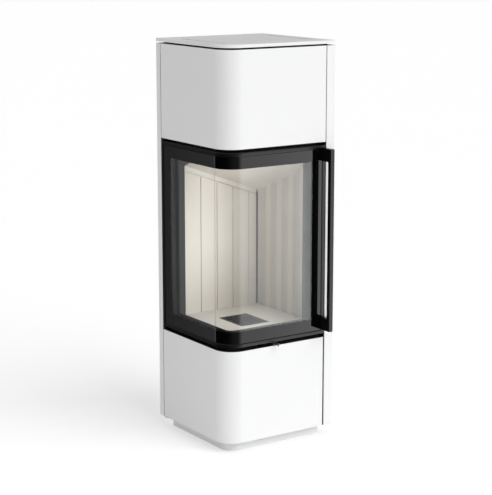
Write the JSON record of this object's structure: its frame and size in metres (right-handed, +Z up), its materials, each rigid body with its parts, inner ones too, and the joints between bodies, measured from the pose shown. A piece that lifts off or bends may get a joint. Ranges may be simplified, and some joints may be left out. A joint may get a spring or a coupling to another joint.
{
  "type": "wood stove",
  "caption": "Tall free-standing wood stove: square plan with a rounded front corner, bent corner-glass door, bow handle, lower wood compartment and plain white cladding.",
  "frame": {"origin": "centre of the body's square plan, on the floor", "axes": "+Z up; +Y from the front to the rear, where the flue leaves; +X to the right, seen from the front"},
  "size_m": [0.453, 0.544, 1.4],
  "materials": {
    "white_coat": "satin",
    "black_coat": "satin",
    "casing_grey": "matte",
    "firebox_steel": "matte",
    "bare_steel": "satin",
    "chrome": "polished",
    "brass": "satin",
    "clear_glass": "polished",
    "rope": "matte",
    "lining": "matte",
    "iron": "matte",
    "soapstone": "matte",
    "magnet": "matte"
  },
  "bodies": {
    "stove_body": {"plinth": "white_coat", "levelling_screws": "bare_steel", "base_plate": "white_coat", "pedestal": "casing_grey", "side_panel": "white_coat", "rear_panel": "white_coat", "rear_stand_offs": "bare_steel", "rear_panel_screws": "bare_steel", "side_panel_brackets": "bare_steel", "magnet_catch": "magnet", "middle_hinge_bracket": "black_coat", "upper_hinge_bracket": "black_coat", "hinge_pins": "bare_steel", "roller_keepers": "bare_steel", "firebox_shell": "firebox_steel", "firebox_bands": "firebox_steel", "rear_lining": "lining", "side_lining": "lining", "air_riser": "firebox_steel", "baffle_plate": "lining", "hearth_front_slab": "lining", "hearth_rear_slab": "lining", "hearth_left_slab": "lining", "hearth_right_slab": "lining", "grate": "iron", "air_box": "casing_grey", "air_intake_spigot": "black_coat", "air_slide_rails": "bare_steel", "ash_shelf": "casing_grey", "ash_pan": "bare_steel", "smoke_box": "firebox_steel", "smoke_box_lid": "firebox_steel", "flue_collar": "black_coat", "top_outlet_cap": "black_coat", "front_heat_stones": "soapstone", "side_heat_stones": "soapstone", "upper_posts": "black_coat", "top_frame": "black_coat", "upper_cladding": "white_coat", "top_plate": "white_coat", "flue_lid": "white_coat", "lid_strap": "bare_steel", "lid_screw": "bare_steel"},
    "glass_door": {"glass_door_frame": "black_coat", "door_glass": "clear_glass", "glass_gasket": "rope", "door_seal": "rope", "door_handle": "black_coat", "handle_screws": "bare_steel", "glass_door_bushes": "brass", "roller_brackets": "black_coat", "roller_pins": "bare_steel"},
    "lower_door": {"lower_door_panel": "white_coat", "lower_door_hinge_blocks": "bare_steel", "lower_door_bushes": "brass", "lower_door_catch_plate": "bare_steel"},
    "lower_roller": {"lower_catch_roller": "bare_steel"},
    "upper_roller": {"upper_catch_roller": "bare_steel"},
    "air_control": {"air_slide": "bare_steel", "lever_knob": "chrome"}
  },
  "joints": [
    {"name": "glass_door_hinge", "type": "hinge", "parent": "stove_body", "child": "glass_door", "pos_m": [-0.2185, 0.181, 0.709], "axis": [0, 0, -1], "range_deg": [0, 105]},
    {"name": "lower_door_hinge", "type": "hinge", "parent": "stove_body", "child": "lower_door", "pos_m": [-0.2185, 0.181, 0.198], "axis": [0, 0, -1], "range_deg": [0, 105]},
    {"name": "lower_roller_spin", "type": "hinge", "parent": "glass_door", "child": "lower_roller", "pos_m": [0.1765, -0.189, 0.5415], "axis": [0, 0, 1], "continuous": true},
    {"name": "upper_roller_spin", "type": "hinge", "parent": "glass_door", "child": "upper_roller", "pos_m": [0.1765, -0.189, 0.8765], "axis": [0, 0, 1], "continuous": true},
    {"name": "air_lever_slide", "type": "slide", "parent": "stove_body", "child": "air_control", "axis": [1, 0, 0], "range_m": [-0.03, 0.03]}
  ]
}
